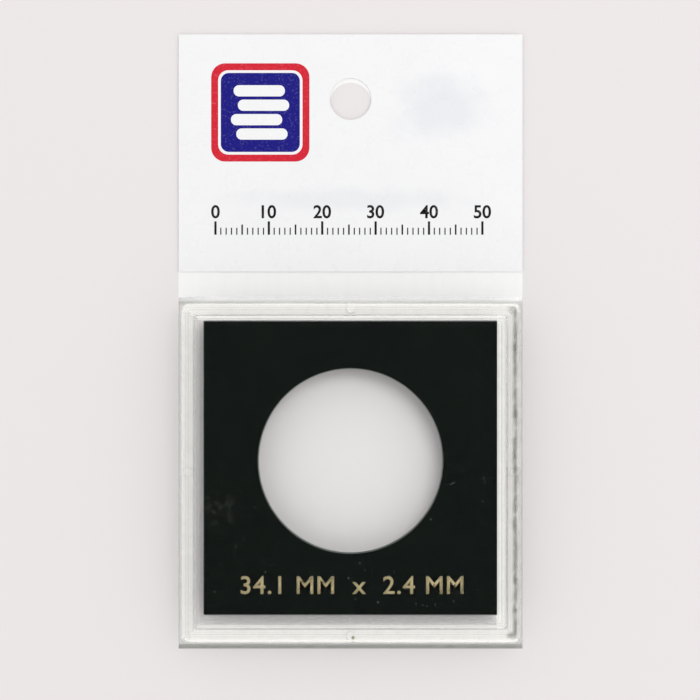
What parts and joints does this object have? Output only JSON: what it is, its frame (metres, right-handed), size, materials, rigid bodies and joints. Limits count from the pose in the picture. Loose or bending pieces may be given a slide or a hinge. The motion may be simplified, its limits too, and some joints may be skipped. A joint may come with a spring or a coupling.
{
  "type": "coin holder",
  "caption": "Square clear snap-together coin case with a black round-hole insert, carried in a clear film pouch that hangs by the punched hole in its white header.",
  "frame": {"origin": "middle of the pouch's outline, on the surface that the holder lies on", "axes": "+X across, +Y up to the header, +Z out of the front window"},
  "size_m": [0.0644, 0.115, 0.0071],
  "materials": {
    "clear_polystyrene": "clear moulded, polished",
    "black_polystyrene": "satin moulded",
    "clear_film": "clear blown film, slightly hazy",
    "white_film": "white ink on glossy film"
  },
  "bodies": {
    "pouch": {"pouch_rear_film": "clear_film", "header_panel": "white_film", "pouch_front_film": "clear_film"},
    "case": {"rear_shell": "clear_polystyrene"},
    "lid": {"front_shell": "clear_polystyrene"},
    "insert": {"coin_insert": "black_polystyrene"}
  },
  "joints": [
    {"name": "case_slide", "type": "slide", "parent": "pouch", "child": "case", "axis": [0, 1, 0], "range_m": [0, 0.068]},
    {"name": "lid_lift", "type": "slide", "parent": "case", "child": "lid", "axis": [0, 0, 1], "range_m": [0, 0.055], "deforming": ["pouch_front_film"]},
    {"name": "insert_lift", "type": "slide", "parent": "case", "child": "insert", "axis": [0, 0, 1], "range_m": [0, 0.0165]}
  ],
  "couplings": [
    {"joint": "insert_lift", "follows": "lid_lift", "ratio": 0.3}
  ]
}
